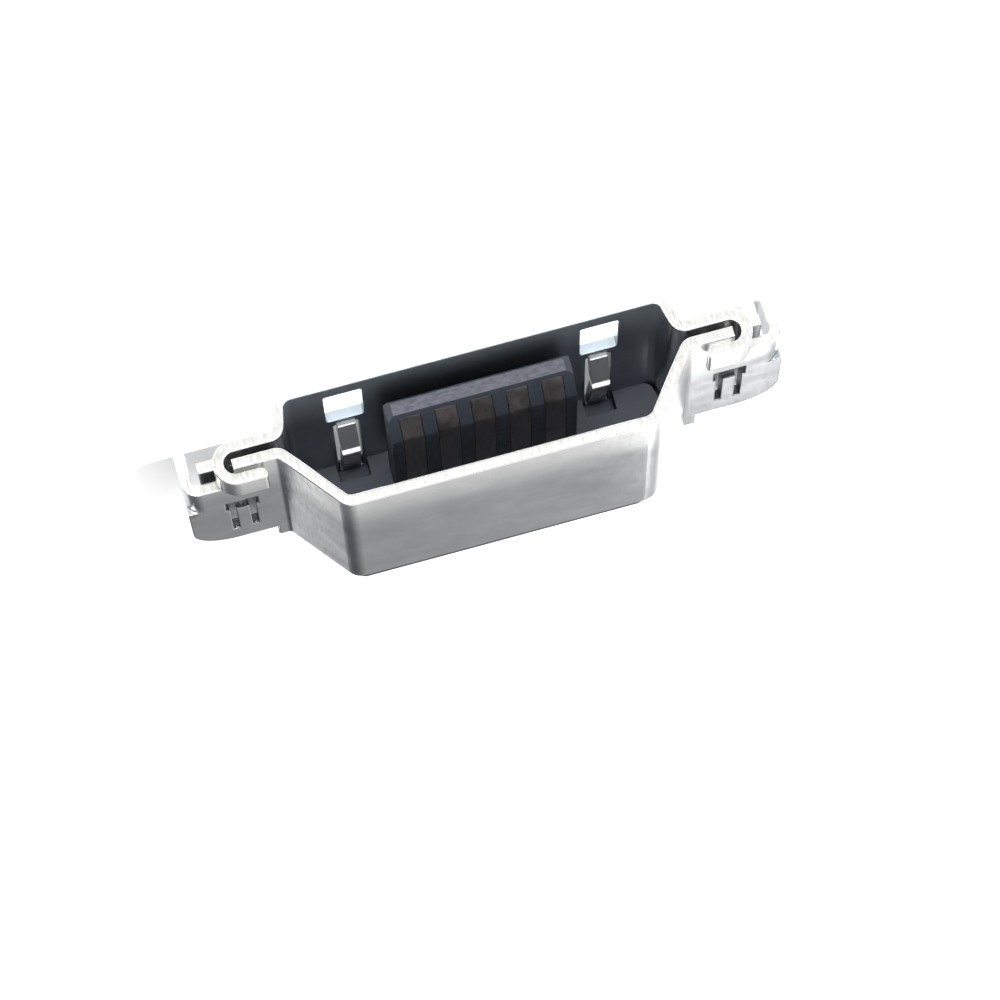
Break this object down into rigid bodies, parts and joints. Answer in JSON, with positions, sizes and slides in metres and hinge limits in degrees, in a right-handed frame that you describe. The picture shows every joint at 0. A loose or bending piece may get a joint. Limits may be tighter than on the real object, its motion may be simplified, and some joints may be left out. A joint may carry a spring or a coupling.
{
  "type": "micro usb socket",
  "caption": "Micro USB type B socket for sunk mounting in a board cut-out, with two folded metal shells, ears with solder legs and a tongue with flat contacts.",
  "frame": {"origin": "middle of the mouth opening, in the plane of the front edges of the shells, where the axis of the plug enters", "axes": "+Y into the socket, so the mouth faces -Y; +X across the mouth; +Z from the wide wall to the narrow wall, up when the socket stands on its wide wall"},
  "size_m": [0.011, 0.0063, 0.0024],
  "materials": {
    "shell": "bright plated sheet, fine rolled grain",
    "insulator": "black moulded, fine texture",
    "contact": "thin gold plating, satin"
  },
  "bodies": {
    "root": {"lower_shell": "shell", "upper_shell": "shell", "insulator": "insulator", "contact_1": "contact", "contact_2": "contact", "contact_3": "contact", "contact_4": "contact", "contact_5": "contact"}
  },
  "joints": []
}
